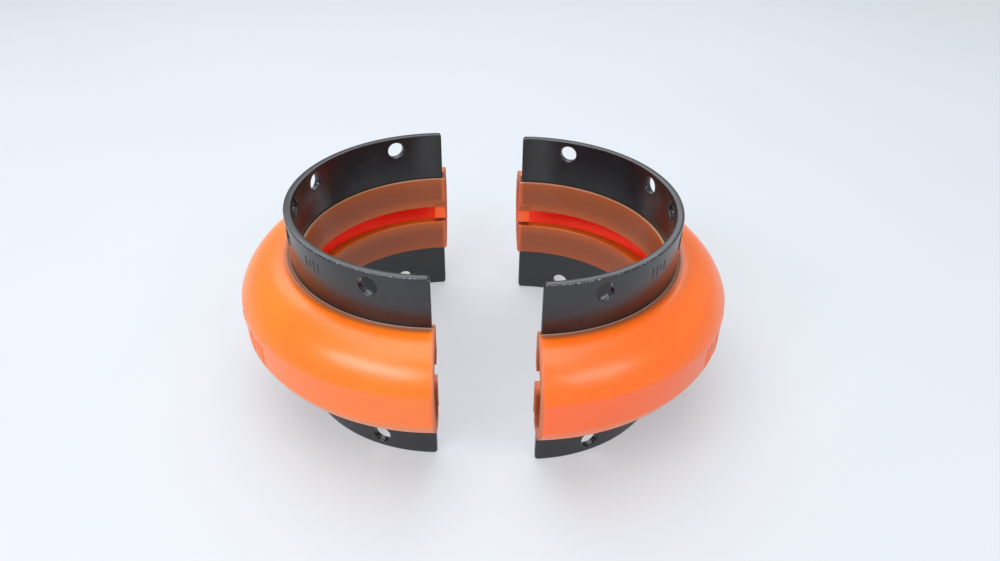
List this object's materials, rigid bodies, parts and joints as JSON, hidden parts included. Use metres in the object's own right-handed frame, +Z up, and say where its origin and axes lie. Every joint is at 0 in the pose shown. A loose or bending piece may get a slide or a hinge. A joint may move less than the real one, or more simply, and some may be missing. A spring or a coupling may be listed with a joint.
{
  "type": "split tyre coupling element",
  "caption": "Flexing element of a tyre-type shaft coupling: two half rings, each an orange urethane tyre bonded to black steel shoes with radial bolt holes.",
  "frame": {"origin": "on the floor, midway between the axes of the two half rings", "axes": "+Z up along both ring axes, +X from the left half to the right half"},
  "size_m": [0.3388, 0.287, 0.14],
  "materials": {
    "urethane": "satin moulded polyurethane, slightly translucent",
    "black_steel": "semi-gloss black paint over rolled steel plate"
  },
  "bodies": {
    "left_lower": {"left_lower_shoe": "black_steel", "left_tyre": "urethane"},
    "left_upper": {"left_upper_shoe": "black_steel"},
    "right_lower": {"right_lower_shoe": "black_steel", "right_tyre": "urethane"},
    "right_upper": {"right_upper_shoe": "black_steel"}
  },
  "joints": [
    {"name": "halves_apart", "type": "slide", "parent": "left_lower", "child": "right_lower", "axis": [0.9924, -0.1228, 0], "range_m": [-0.05945, 0.06]},
    {"name": "left_wind_up", "type": "hinge", "parent": "left_lower", "child": "left_upper", "pos_m": [-0.0295, 0.00365, 0.07], "axis": [0, 0, 1], "range_deg": [-4, 4], "stiffness_Nm_per_rad": 300, "deforming": ["left_tyre"]},
    {"name": "right_wind_up", "type": "hinge", "parent": "right_lower", "child": "right_upper", "pos_m": [0.0295, -0.00365, 0.07], "axis": [0, 0, 1], "range_deg": [-4, 4], "stiffness_Nm_per_rad": 300, "deforming": ["right_tyre"]}
  ],
  "couplings": [
    {"joint": "right_wind_up", "follows": "left_wind_up", "ratio": 1}
  ]
}
